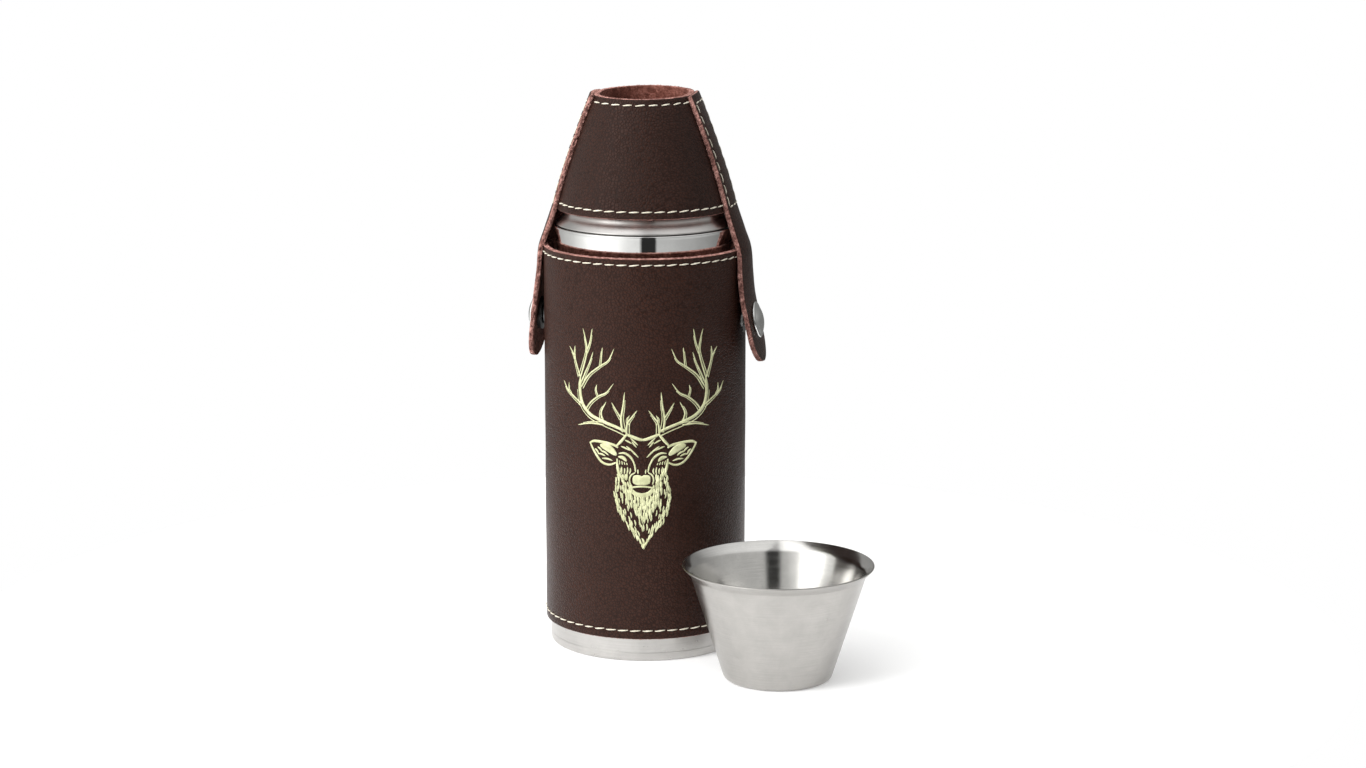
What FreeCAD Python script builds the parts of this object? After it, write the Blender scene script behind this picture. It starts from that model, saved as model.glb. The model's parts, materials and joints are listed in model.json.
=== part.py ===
"""Hunter's flask: a round steel flask in a sewn leather sleeve, a screw cap, nested steel cups
standing upside down over the cap, and a leather cover whose two straps snap onto the sleeve.

Millimetres. Origin: centre of the flask's base. +Z up, the printed front of the sleeve faces -Y.
"""

import math
import os

import FreeCAD
import Part

from FreeCAD import Vector

# ---- driving dimensions ---------------------------------------------------------------------
VESSEL_R = 26.7            # outside of the steel vessel
VESSEL_WALL = 0.6
BASE_EDGE_R = 1.2          # rounded bottom edge
BASE_GROOVE = (19.0, 22.0, 0.8)   # pressed ring in the base: inner and outer radius, depth
BASE_SEAM_Z = 2.4          # where the base is welded to the tube
TUBE_TOP = 109.0

SLEEVE_R = 28.0            # outside of the leather sleeve
SLEEVE_Z = (6.5, 112.5)
SEAM_INSET = 1.85          # top stitch row below the sleeve's top edge
HEM_INSET = 2.55           # bottom stitch row above the sleeve's bottom edge

COLLAR_TOP_R = 24.7        # polished ring that the cups stand on
COLLAR_LOW_R = 23.1
COLLAR_TOP = 118.0
COLLAR_SHEET = 0.8
SHOULDER_SHEET = 0.7
SEAT_INNER_R = 16.0

NECK_R = 9.4
NECK_WALL = 0.8
NECK_TOP = 129.6
PITCH = 2.5                # screw pitch of neck and cap
THREAD_DEPTH = 0.75
THREAD_ROOT = 0.2          # how far a ridge runs into its wall
THREAD_HALF = 0.28         # half of a ridge's foot, as a share of the pitch
NECK_THREAD = (121.6, 2.0)   # height of its start, number of turns
CAP_THREAD = (NECK_THREAD[0] - PITCH / 2, 1.25)

CAP_R = 11.6
CAP_Z = (119.4, 132.2)
CAP_SHEET = 0.6
CAP_LINER = 0.8
CAP_EDGE_R = 1.6
CAP_FLUTES = 24
FLUTE_R = 0.6
FLUTE_DEPTH = 0.25
FLUTE_ENDS = (1.2, 2.2)    # how far the flutes stop short of the cap's lower and upper edge
GASKET_T = 1.9
GASKET_GAP = (0.3, 0.05)   # beside the gasket and under it

CUP_SHEET = 0.5
CUP_TAPER = math.radians(17.7)
CUP_FLARE = math.radians(45.0)
CUP_LIP = 2.3              # straight length of the flared lip
CUP_BEND_R = 2.5           # between wall and lip
CUP_BASE_R = 1.6           # rounded base edge
CUP_GAP = 0.2              # between the rims and the seat
CUPS = {                   # node: rim radius, height
    "outer_cup": (24.6, 30.6),
    "middle_cup": (23.2, 29.6),
    "inner_cup": (21.8, 28.6),
}
LOOSE_CUP = (25.9, 31.5)
LOOSE_CUP_AT = (36.2, -40.7)

COVER_LOW = (24.4, 122.3)  # radius and height of the cover's outside at its bottom edge
COVER_MID = (19.9, 138.2)
COVER_TOP = (14.2, 154.2)
COVER_LEATHER = 1.5
COVER_ROWS = (124.4, 152.5)
COVER_TURN = -12.0         # the cover and its snaps are turned this many degrees from the print

STRAP_W = 16.0
STRAP_T = 1.4
STRAP_RISE = 0.2           # how far a strap stands above the cover's top edge
STRAP_ROW_INSET = 1.7      # stitch row in from the strap's edge
STRAP_ROW_DROP = 0.4       # lower end of that row below the cover's own row
BEND_GAP = 0.12            # between the sewn part of a strap and its free end
HINGE_Z = 121.5            # where the free end of a strap bends
SNAP_Z = 92.0
TAILS = {                  # side: turn about Z, centre line of the free end as radius and height
    "right": (COVER_TURN, [(25.2, 121.5), (27.4, 116.6), (28.9, 111.6), (29.35, 105.0),
                           (29.9, 98.3), (31.1, 92.0), (33.5, 79.3)]),
    "left": (COVER_TURN + 180.0, [(25.2, 121.5), (27.4, 116.6), (28.9, 111.6), (29.4, 105.0),
                                  (30.1, 98.3), (30.75, 92.0), (31.6, 80.6)]),
}

THREAD_W = 0.5             # sewing thread, and how far it stands proud of the leather
THREAD_H = 0.14

SNAP_CAP_R = 5.0
SNAP_DOME = 1.5
SNAP_RIM = 0.35
CAP_SINK = 0.2             # how deep the cap's underside is pressed into the leather
SOCKET_R = 4.6
SOCKET_GAP = 0.1
SOCKET_T = 1.1
SOCKET_BORE_R = 3.0
RIVET_R = 1.3
STUD_FLANGE_R = 3.5
STUD_FLANGE = 0.3
STUD_HEAD_R = 1.9
STUD_HEAD = 1.35
STUD_TOP_R = 0.5           # flat middle of the stud's head
STUD_BELLY = 0.3           # rounding of the head below its top

EDGE = 0.3                 # small rounding of sheet edges
BIG = 200.0
UP = Vector(0, 0, 1)


# ---- helpers --------------------------------------------------------------------------------
def at(r, z):
    return Vector(r, 0, z)


def outline(start, *steps):
    """Closed face in the r-z plane. A step is a corner, or (a point on an arc, the arc's end)."""
    here = at(*start)
    edges = []
    for step in steps:
        if isinstance(step[0], tuple):
            middle, end = (at(*p) for p in step)
            edges.append(Part.Arc(here, middle, end).toShape())
        else:
            end = at(*step)
            edges.append(Part.makeLine(here, end))
        here = end
    if here.distanceToPoint(at(*start)) > 1e-6:
        edges.append(Part.makeLine(here, at(*start)))
    return Part.Face(Part.Wire(edges))


def turned(face):
    return face.revolve(Vector(), UP, 360)


def ring(r_in, r_out, z_low, z_high):
    return turned(outline((r_in, z_low), (r_out, z_low), (r_out, z_high), (r_in, z_high)))


def facing(shape, degrees):
    """Turn a shape that was made on the +X side about the flask's axis."""
    copy = shape.copy()
    copy.rotate(Vector(), UP, degrees)
    return copy


def polar(centre, radius, angle):
    return (centre[0] + radius * math.cos(angle), centre[1] + radius * math.sin(angle))


def save(name, shape):
    if shape.ShapeType == "Compound" and len(shape.Solids) == 1:
        shape = shape.Solids[0]
    if not shape.isValid() or not shape.Solids:
        raise ValueError(name + " is not a valid solid")
    shape.exportStep("parts/" + name + ".step")
    print(f"{name:24s} {len(shape.Solids)} solid {shape.Volume:9.1f} mm3")


# ---- steel vessel ---------------------------------------------------------------------------
def vessel_base():
    e, t = BASE_EDGE_R, VESSEL_WALL
    inner, outer, depth = BASE_GROOVE
    mid = math.radians(-45)
    return turned(outline(
        (0, 0), (inner, 0), (inner + depth, depth), (outer - depth, depth), (outer, 0),
        (VESSEL_R - e, 0),
        (polar((VESSEL_R - e, e), e, mid), (VESSEL_R, e)),
        (VESSEL_R, BASE_SEAM_Z), (VESSEL_R - t, BASE_SEAM_Z), (VESSEL_R - t, e),
        (polar((VESSEL_R - e, e), e - t, mid), (VESSEL_R - e, t)),
        (outer + t / 2, t), (outer - depth + t / 2, depth + t),
        (inner + depth - t / 2, depth + t), (inner - t / 2, t), (0, t)))


def vessel_tube():
    return ring(VESSEL_R - VESSEL_WALL, VESSEL_R, BASE_SEAM_Z, TUBE_TOP)


def shoulder():
    """Pressed top of the vessel: a flat rim, a raised middle and a hole for the neck."""
    t = SHOULDER_SHEET
    rise = COLLAR_LOW_R - COLLAR_SHEET
    deck = COLLAR_TOP - COLLAR_SHEET
    return turned(outline(
        (VESSEL_R, TUBE_TOP), (VESSEL_R, TUBE_TOP + t), (rise, TUBE_TOP + t), (rise - t, deck),
        (NECK_R, deck), (NECK_R, deck - t), (rise - 2 * t, deck - t), (rise - t, TUBE_TOP)))


def cup_seat_collar():
    """Polished flared ring around the shoulder, with the ledge that the cups' rims rest on."""
    t = COLLAR_SHEET
    low = TUBE_TOP + SHOULDER_SHEET
    top = COLLAR_TOP
    return turned(outline(
        (COLLAR_LOW_R - t, low), (COLLAR_LOW_R, low), (COLLAR_TOP_R, top - EDGE),
        (polar((COLLAR_TOP_R - EDGE, top - EDGE), EDGE, math.radians(45)), (COLLAR_TOP_R - EDGE, top)),
        (SEAT_INNER_R, top), (SEAT_INNER_R, top - t), (COLLAR_TOP_R - 2 * t, top - t)))


def screw_ridge(radius, sign, start, turns):
    """One helical ridge on a wall of the given radius; sign +1 points outwards, -1 inwards."""
    helix = Part.makeHelix(PITCH, PITCH * turns, radius)
    half = THREAD_HALF * PITCH
    root, crest = radius - THREAD_ROOT * sign, radius + THREAD_DEPTH * sign
    corners = [at(root, -half), at(root, half), at(crest, half / 3), at(crest, -half / 3)]
    ridge = Part.Wire(helix).makePipeShell([Part.makePolygon(corners + corners[:1])], True, True)
    ridge.translate(Vector(0, 0, start))
    return ridge


def neck():
    wall = ring(NECK_R - NECK_WALL, NECK_R, COLLAR_TOP - COLLAR_SHEET - SHOULDER_SHEET, NECK_TOP)
    return wall.fuse(screw_ridge(NECK_R, 1, *NECK_THREAD))


# ---- screw cap ------------------------------------------------------------------------------
def cap_shell():
    low, top = CAP_Z
    t, e = CAP_SHEET, CAP_EDGE_R
    mid = math.radians(45)
    shell = turned(outline(
        (CAP_R - t, low), (CAP_R, low), (CAP_R, top - e),
        (polar((CAP_R - e, top - e), e, mid), (CAP_R - e, top)),
        (0, top), (0, top - t), (CAP_R - e, top - t),
        (polar((CAP_R - e, top - e), e - t, mid), (CAP_R - t, top - e))))
    foot, head = low + FLUTE_ENDS[0], top - FLUTE_ENDS[1]
    for i in range(CAP_FLUTES):
        groove = Part.makeCylinder(FLUTE_R, head - foot, at(CAP_R + FLUTE_R - FLUTE_DEPTH, foot))
        shell = shell.cut(facing(groove, 360.0 * i / CAP_FLUTES))
    return shell


def cap_thread_insert():
    low, top = CAP_Z
    outer = CAP_R - CAP_SHEET
    inner = outer - CAP_LINER
    liner = ring(inner, outer, low, NECK_TOP)
    return liner.fuse(screw_ridge(inner, -1, *CAP_THREAD))


def cap_gasket():
    beside, under = GASKET_GAP
    return Part.makeCylinder(CAP_R - CAP_SHEET - CAP_LINER - beside, GASKET_T, at(0, NECK_TOP + under))


# ---- cups -----------------------------------------------------------------------------------
def cup(rim_r, height):
    """Upright pressed cup on z = 0: flat base, tapered wall, flared lip with a rounded edge."""
    t, a, b = CUP_SHEET, CUP_TAPER, CUP_FLARE
    lip = (rim_r - t / 2, height - t / 2)

    def across(angle, point, distance):
        return (point[0] + distance * math.cos(angle), point[1] - distance * math.sin(angle))

    def flare_end(side):
        return across(b, lip, side * t / 2)

    low_end = (lip[0] - CUP_LIP * math.sin(b), lip[1] - CUP_LIP * math.cos(b))
    hub = across(b, low_end, t / 2 + CUP_BEND_R)

    def bend(angle, side):
        return across(angle, hub, -(CUP_BEND_R + t / 2 - side * t / 2))

    wall_top = bend(a, 1)
    foot_z = CUP_BASE_R * (1 - math.sin(a))
    foot_r = wall_top[0] - (wall_top[1] - foot_z) * math.tan(a)
    base = (foot_r - CUP_BASE_R * math.cos(a), CUP_BASE_R)
    turn_mid = -(math.pi / 2 + a) / 2
    inner_r = CUP_BASE_R - t
    return turned(outline(
        (0, 0), (base[0], 0),
        (polar(base, CUP_BASE_R, turn_mid), (foot_r, foot_z)),
        bend(a, 1), (bend((a + b) / 2, 1), bend(b, 1)),
        flare_end(1),
        ((lip[0] + t / 2 * math.sin(b), lip[1] + t / 2 * math.cos(b)), flare_end(-1)),
        bend(b, -1), (bend((a + b) / 2, -1), bend(a, -1)),
        polar(base, inner_r, -a), (polar(base, inner_r, turn_mid), (base[0], t)),
        (0, t)))


def nested(shape):
    """Turn a cup upside down and stand it on the seat."""
    shape.rotate(Vector(), Vector(1, 0, 0), 180)
    shape.translate(Vector(0, 0, COLLAR_TOP + CUP_GAP + shape.BoundBox.ZLength))
    return shape


# ---- leather --------------------------------------------------------------------------------
def sleeve():
    return ring(VESSEL_R, SLEEVE_R, *SLEEVE_Z)


def sleeve_row(z):
    return ring(SLEEVE_R, SLEEVE_R + THREAD_H, z - THREAD_W / 2, z + THREAD_W / 2)


COVER_CIRCLE = Part.Circle(at(*COVER_LOW), at(*COVER_MID), at(*COVER_TOP))


def on_cover(z, proud):
    """Point of the cover's profile at height z, moved along its outward normal."""
    hub, radius = COVER_CIRCLE.Center, COVER_CIRCLE.Radius
    angle = math.asin((z - hub.z) / radius)
    return polar((hub.x, hub.z), radius + proud, angle)


def cover_band(z_low, z_high, d_in, d_out):
    """Band of the cover between two heights and two distances from its outside."""
    z_mid = (z_low + z_high) / 2
    return turned(outline(
        on_cover(z_low, d_in), on_cover(z_low, d_out),
        (on_cover(z_mid, d_out), on_cover(z_high, d_out)),
        on_cover(z_high, d_in), (on_cover(z_mid, d_in), on_cover(z_low, d_in))))


def slab(half_w, z_low, z_high, far=BIG):
    """Upright bar on the +X side, as wide as 2 * half_w."""
    return Part.makeBox(far, 2 * half_w, z_high - z_low, Vector(0, -half_w, z_low))


def strap_anchor():
    """The part of a strap that is sewn to the cover."""
    low = HINGE_Z + STRAP_T / 2 + BEND_GAP
    high = COVER_TOP[1] + STRAP_RISE
    return cover_band(low, high, 0, STRAP_T).common(slab(STRAP_W / 2, low - 2, high + 2))


def strap_row():
    """Rectangle of stitching that holds a strap to the cover."""
    low, high = COVER_ROWS[0] - STRAP_ROW_DROP, COVER_TOP[1] - STRAP_ROW_INSET
    half = STRAP_W / 2 - STRAP_ROW_INSET
    band = cover_band(low, high, STRAP_T, STRAP_T + THREAD_H)
    frame = slab(half, low - 2, high + 2).cut(slab(half - THREAD_W, low + THREAD_W, high - THREAD_W))
    return band.common(frame)


def offset_line(points, distance):
    """Smooth curve through the points, and one beside it at the given distance."""
    curve = Part.BSplineCurve()
    curve.interpolate([at(*p) for p in points])
    first, last = curve.FirstParameter, curve.LastParameter
    count = 3 * len(points)
    side = []
    for i in range(count + 1):
        u = first + (last - first) * i / count
        tangent = curve.tangent(u)[0]
        side.append(curve.value(u) + Vector(tangent.z, 0, -tangent.x) * distance)
    beside = Part.BSplineCurve()
    beside.interpolate(side)
    return beside


def strap_tail(points):
    """Free end of a strap on the +X side: rounded at the bend and, seen flat, at its tip."""
    half_t, half_w = STRAP_T / 2, STRAP_W / 2
    inner, outer = (offset_line(points, d) for d in (half_t, -half_t))
    if inner.value(inner.FirstParameter).x > outer.value(outer.FirstParameter).x:
        inner, outer = outer, inner
    head = at(points[0][0], points[0][1])
    along = outer.value(outer.FirstParameter) - inner.value(inner.FirstParameter)
    crown = head + Vector(-along.z, 0, along.x).normalize() * half_t
    bend = Part.Arc(inner.value(inner.FirstParameter), crown, outer.value(outer.FirstParameter))
    tip = Part.makeLine(inner.value(inner.LastParameter), outer.value(outer.LastParameter))
    band = turned(Part.Face(Part.Wire(Part.__sortEdges__(
        [bend.toShape(), outer.toShape(), tip, inner.toShape()]))))
    low, high = points[-1][1], HINGE_Z + 2
    body = slab(half_w, low + half_w, high)
    end = Part.makeCylinder(half_w, BIG, at(0, low + half_w), Vector(1, 0, 0))
    return band.common(body.fuse(end))


# ---- press studs ----------------------------------------------------------------------------
def disc(radius, low, high):
    return Part.makeCylinder(radius, high - low, at(0, low))


def snap_cap():
    """Domed cap on the strap's face, with the rivet that goes through the leather."""
    ball = (SNAP_CAP_R ** 2 + SNAP_DOME ** 2) / (2 * SNAP_DOME)
    half = math.asin(SNAP_CAP_R / ball) / 2
    side = (ball * math.sin(half), SNAP_RIM + SNAP_DOME - ball * (1 - math.cos(half)))
    dome = turned(outline((0, 0), (SNAP_CAP_R, 0), (SNAP_CAP_R, SNAP_RIM),
                          (side, (0, SNAP_RIM + SNAP_DOME))))
    length = STRAP_T - CAP_SINK + SOCKET_GAP - SNAP_RIM
    return dome.fuse(disc(RIVET_R, -length, 0))


def snap_socket():
    """Ring on the strap's flesh side that takes the stud, with its disc against the rivet."""
    cup_ring = disc(SOCKET_R, -SOCKET_T, 0).cut(disc(SOCKET_BORE_R, -SOCKET_T, 0))
    return cup_ring.fuse(disc(SOCKET_R, 0, SNAP_RIM))


def stud():
    """Male half on the sleeve: a thin flange and a rounded head."""
    neck_z = STUD_HEAD - (STUD_HEAD_R - STUD_TOP_R) / 2
    head = turned(outline(
        (0, STUD_FLANGE), (STUD_HEAD_R, STUD_FLANGE), (STUD_HEAD_R, neck_z),
        ((STUD_HEAD_R - STUD_BELLY, STUD_HEAD), (STUD_TOP_R, STUD_HEAD + STUD_FLANGE)),
        (0, STUD_HEAD + STUD_FLANGE)))
    return disc(STUD_FLANGE_R, -STUD_FLANGE, STUD_FLANGE).fuse(head)


def stud_rivet():
    """Rivet through the sleeve, its flange between the leather and the steel."""
    depth = SLEEVE_R - VESSEL_R
    return disc(STUD_FLANGE_R, -depth, STUD_FLANGE - depth).fuse(disc(RIVET_R, -depth, -STUD_FLANGE))


def mounted(shape, radius, z, degrees, tilt=0.0, shift=0.0):
    """Lay a part made around +Z with its axis pointing outwards at a place on the side."""
    copy = shape.copy()
    copy.translate(Vector(0, 0, shift))
    copy.rotate(Vector(), Vector(0, 1, 0), 90 - tilt)
    copy.translate(at(radius, z))
    return facing(copy, degrees)


def strap_slope(points, z):
    """Radius of the strap's centre line at a height, and its lean outwards in degrees."""
    line = offset_line(points, 0.0)
    first, last = line.FirstParameter, line.LastParameter
    for _ in range(60):
        middle = (first + last) / 2
        if line.value(middle).z > z:
            first = middle
        else:
            last = middle
    tangent = line.tangent(first)[0]
    return line.value(first).x, math.degrees(math.atan2(abs(tangent.x), abs(tangent.z)))


# ---- the whole flask ------------------------------------------------------------------------
def main():
    os.makedirs("parts", exist_ok=True)
    save("vessel_base", vessel_base())
    save("vessel_tube", vessel_tube())
    save("shoulder", shoulder())
    save("cup_seat_collar", cup_seat_collar())
    save("neck", neck())
    save("cap_shell", cap_shell())
    save("cap_thread_insert", cap_thread_insert())
    save("cap_gasket", cap_gasket())

    for name, (rim_r, height) in CUPS.items():
        save(name, nested(cup(rim_r, height)))
    loose = cup(*LOOSE_CUP)
    loose.translate(Vector(LOOSE_CUP_AT[0], LOOSE_CUP_AT[1], 0))
    save("loose_cup", loose)

    leather = sleeve()
    for side, (turn_z, line) in TAILS.items():
        male = mounted(stud(), SLEEVE_R, SNAP_Z, turn_z)
        rivet = mounted(stud_rivet(), SLEEVE_R, SNAP_Z, turn_z)
        leather = leather.cut(male).cut(rivet)
        save(side + "_stud", male)
        save(side + "_stud_rivet", rivet)

        middle, lean = strap_slope(line, SNAP_Z)
        tail = facing(strap_tail(line), turn_z)
        above, below = STRAP_T / 2 - CAP_SINK, -STRAP_T / 2 - SOCKET_GAP
        cap = mounted(snap_cap(), middle, SNAP_Z, turn_z, lean, above)
        socket = mounted(snap_socket(), middle, SNAP_Z, turn_z, lean, below)
        pocket = mounted(disc(SOCKET_R, -SOCKET_T, SNAP_RIM), middle, SNAP_Z, turn_z, lean, below)
        save(side + "_snap_cap", cap)
        save(side + "_snap_socket", socket)
        save(side + "_strap_tail", tail.cut(cap).cut(pocket))
        save(side + "_strap", facing(strap_anchor(), turn_z))
        save(side + "_strap_thread", facing(strap_row(), turn_z))
    save("leather_sleeve", leather)

    row_low, row_high = SLEEVE_Z[0] + HEM_INSET, SLEEVE_Z[1] - SEAM_INSET
    save("sleeve_top_thread", sleeve_row(row_high))
    save("sleeve_bottom_thread", sleeve_row(row_low))
    back = ring(SLEEVE_R, SLEEVE_R + THREAD_H, row_low + THREAD_W, row_high - THREAD_W)
    save("sleeve_back_thread", back.common(facing(slab(THREAD_W / 2, 0, COVER_TOP[1]), 90)))

    save("cover_cone", cover_band(COVER_LOW[1], COVER_TOP[1], -COVER_LEATHER, 0))
    half_row = THREAD_W / 2
    strap_bars = [facing(slab(STRAP_W / 2, 0, BIG), turn_z) for turn_z, _ in TAILS.values()]
    for name, z in zip(("cover_bottom_thread", "cover_top_thread"), COVER_ROWS):
        row = cover_band(z - half_row, z + half_row, 0, THREAD_H)
        save(name, row.cut(strap_bars[0]).cut(strap_bars[1]))
    back = cover_band(COVER_ROWS[0] + THREAD_W, COVER_ROWS[1] - THREAD_W, 0, THREAD_H)
    save("cover_back_thread", back.common(facing(slab(half_row, 0, BIG), 90 + COVER_TURN)))


main()
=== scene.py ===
"""Hunter's flask with nested cups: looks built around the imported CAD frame.

Lengths in this script are millimetres and are turned into metres where meshes are made (MM).
The cover and its straps are turned by COVER_TURN about the flask's axis, as in the CAD model.
"""
import json
import random
from math import atan2, cos, exp, hypot, log, pi, radians, sin, sqrt, tan

import bpy
from mathutils import Matrix, Vector, noise


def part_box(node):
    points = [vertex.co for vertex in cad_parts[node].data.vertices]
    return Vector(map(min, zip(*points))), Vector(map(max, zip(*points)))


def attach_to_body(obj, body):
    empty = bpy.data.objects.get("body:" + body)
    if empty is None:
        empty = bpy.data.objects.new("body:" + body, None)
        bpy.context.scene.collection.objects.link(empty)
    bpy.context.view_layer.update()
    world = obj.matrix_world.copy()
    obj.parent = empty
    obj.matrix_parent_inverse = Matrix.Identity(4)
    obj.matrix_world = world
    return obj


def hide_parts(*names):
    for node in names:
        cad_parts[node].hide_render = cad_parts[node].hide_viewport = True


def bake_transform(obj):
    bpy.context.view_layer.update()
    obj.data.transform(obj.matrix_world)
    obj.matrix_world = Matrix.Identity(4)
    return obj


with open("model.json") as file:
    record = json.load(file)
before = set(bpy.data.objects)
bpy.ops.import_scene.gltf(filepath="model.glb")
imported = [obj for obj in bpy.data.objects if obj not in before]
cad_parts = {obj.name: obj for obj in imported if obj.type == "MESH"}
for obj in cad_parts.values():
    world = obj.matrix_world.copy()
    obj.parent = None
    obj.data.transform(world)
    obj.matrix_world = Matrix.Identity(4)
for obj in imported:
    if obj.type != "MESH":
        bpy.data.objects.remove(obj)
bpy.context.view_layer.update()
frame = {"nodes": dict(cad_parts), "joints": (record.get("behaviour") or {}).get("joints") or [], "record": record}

MM = 0.001
TAU = 2 * pi


def box_mm(node):
    low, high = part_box(node)
    return low / MM, high / MM


def mid_height(node):
    low, high = box_mm(node)
    return (low.z + high.z) / 2


# ---- places and sizes taken from the frame ----
SLEEVE_LOW, SLEEVE_HIGH = box_mm("leather_sleeve")
SLEEVE_R = SLEEVE_HIGH.x
VESSEL_R = box_mm("vessel_tube")[1].x
ROW_TOP = mid_height("sleeve_top_thread")
ROW_LOW = mid_height("sleeve_bottom_thread")
COVER_ROW_TOP = mid_height("cover_top_thread")
COVER_ROW_LOW = mid_height("cover_bottom_thread")
HINGES = {j["child"]: Vector(j["pos_m"]) / MM for j in frame["joints"] if j["type"] == "hinge"}
COVER_TURN = atan2(HINGES["right_tail"].y, HINGES["right_tail"].x)

# ---- leather and stitching ----
LEATHER_T = 1.5             # cover
STRAP_T = 1.4
STRAP_W = 16.0
STITCH_PITCH = 3.45         # sleeve and cover
STRAP_PITCH = 3.2
STITCH_LEN = 2.85
STITCH_R = 0.175
STITCH_SLANT = radians(4.5)
STITCH_LIFT = 0.1           # middle of a stitch above the leather
ROW_W = STRAP_W / 2 - 1.7   # from the middle of a strap to its long rows
GRAIN = 0.84                # width of a pebble of the grain
CUT_STEPS = 7               # points across a cut edge of the sleeve or the cover
EDGE_STEPS = 6              # and of a strap


# ---- node helpers ----
class Nodes:
    """Short names for building a node tree."""

    def __init__(self, tree):
        self.tree = tree

    def node(self, kind, **settings):
        made = self.tree.nodes.new(kind)
        for key, value in settings.items():
            setattr(made, key, value)
        return made

    def link(self, source, target):
        self.tree.links.new(source, target)

    def feed(self, socket, value):
        if isinstance(value, bpy.types.NodeSocket):
            self.link(value, socket)
        else:
            socket.default_value = value

    def fed(self, kind, output, settings=(), **values):
        """Output of a new node whose inputs are fed by name, with spaces written as _."""
        made = self.node(kind, **dict(settings))
        for key, value in values.items():
            if value is not None:
                self.feed(made.inputs[key.replace("_", " ")], value)
        return made.outputs[output]

    def math(self, operation, a, b=0.0, c=0.0):
        made = self.node("ShaderNodeMath", operation=operation)
        for socket, value in zip(made.inputs, (a, b, c)):
            self.feed(socket, value)
        return made.outputs[0]

    def ramp(self, value, *stops):
        made = self.node("ShaderNodeValToRGB")
        self.feed(made.inputs[0], value)
        bar = made.color_ramp.elements
        while len(bar) < len(stops):
            bar.new(0.5)
        for element, (place, colour) in zip(bar, stops):
            element.position = place
            element.color = (*colour, 1.0) if len(colour) == 3 else (colour[0],) * 3 + (1.0,)
        return made.outputs["Color"]

    def blend(self, kind, factor, a, b):
        made = self.node("ShaderNodeMix", data_type="RGBA", blend_type=kind)
        for socket, value in ((made.inputs["Factor"], factor), (made.inputs[6], a), (made.inputs[7], b)):
            self.feed(socket, value)
        return made.outputs[2]


class Shader(Nodes):
    """One material's node tree."""

    def __init__(self, name):
        self.material = bpy.data.materials.new(name)
        self.material.use_nodes = True
        super().__init__(self.material.node_tree)
        self.bsdf = self.tree.nodes["Principled BSDF"]
        self.place = self.node("ShaderNodeTexCoord").outputs["Object"]

    def set(self, **values):
        for key, value in values.items():
            self.feed(self.bsdf.inputs[key.replace("_", " ")], value)

    def scaled(self, vector, scale):
        made = self.node("ShaderNodeVectorMath", operation="MULTIPLY")
        self.feed(made.inputs[0], vector)
        made.inputs[1].default_value = scale
        return made.outputs[0]

    def around(self, centre=(0.0, 0.0)):
        """Cylindrical coordinates about an upright axis: (angle, radius, height)."""
        split = self.node("ShaderNodeSeparateXYZ")
        self.link(self.place, split.inputs[0])
        x = self.math("SUBTRACT", split.outputs[0], centre[0] * MM)
        y = self.math("SUBTRACT", split.outputs[1], centre[1] * MM)
        angle = self.math("ARCTAN2", y, x)
        squares = self.math("ADD", self.math("MULTIPLY", x, x), self.math("MULTIPLY", y, y))
        radius = self.math("SQRT", squares)
        joined = self.node("ShaderNodeCombineXYZ")
        for socket, value in zip(joined.inputs, (angle, radius, split.outputs[2])):
            self.feed(socket, value)
        return joined.outputs[0]

    def noise(self, vector, scale, detail=3.0, roughness=0.55, distortion=0.0):
        return self.fed("ShaderNodeTexNoise", "Fac", Vector=vector, Scale=scale, Detail=detail,
                        Roughness=roughness, Distortion=distortion)

    def cell_edges(self, vector, scale):
        return self.fed("ShaderNodeTexVoronoi", "Distance", {"feature": "DISTANCE_TO_EDGE"},
                        Vector=vector, Scale=scale)

    def bump(self, height, distance, strength=1.0, normal=None):
        return self.fed("ShaderNodeBump", "Normal", Height=height, Distance=distance * MM,
                        Strength=strength, Normal=normal)


# ---- materials ----
def leather_material(name, light=1.0, shine=0.13):
    """Grain side: fine pebbles with darker grooves between them, soft creases and pores."""
    s = Shader(name)
    warp = s.node("ShaderNodeVectorMath", operation="ADD")
    s.link(s.place, warp.inputs[0])
    wander = s.fed("ShaderNodeTexNoise", "Color", Vector=s.place, Scale=700)
    s.link(s.scaled(wander, (0.0006, 0.0006, 0.0006)), warp.inputs[1])
    pebble = s.cell_edges(warp.outputs[0], 1 / (GRAIN * MM))
    fine = s.noise(s.place, 4200, 2.0)
    crease = s.noise(s.scaled(s.place, (1.0, 1.0, 0.45)), 260, 4.0, 0.6, 0.4)
    tone = s.noise(s.place, 38, 4.0, 0.6)
    low, high = (0.0320, 0.0130, 0.0088), (0.0420, 0.0172, 0.0120)
    colour = s.ramp(tone, (0.30, tuple(c * light for c in low)), (0.72, tuple(c * light for c in high)))
    groove = s.ramp(pebble, (0.0, (0.46,)), (0.20, (1.08,)))
    height = s.math("MINIMUM", pebble, 0.22)
    soft = s.bump(crease, 0.08, 0.5)
    grain = s.bump(height, 0.42, 1.0, soft)
    pores = s.bump(fine, 0.02, 0.5, grain)
    rough = s.math("MULTIPLY_ADD", crease, 0.14, 0.26)
    s.set(Base_Color=s.blend("MULTIPLY", 1.0, colour, groove), Roughness=rough, Normal=pores,
          Specular_IOR_Level=shine)
    return s.material


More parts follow.
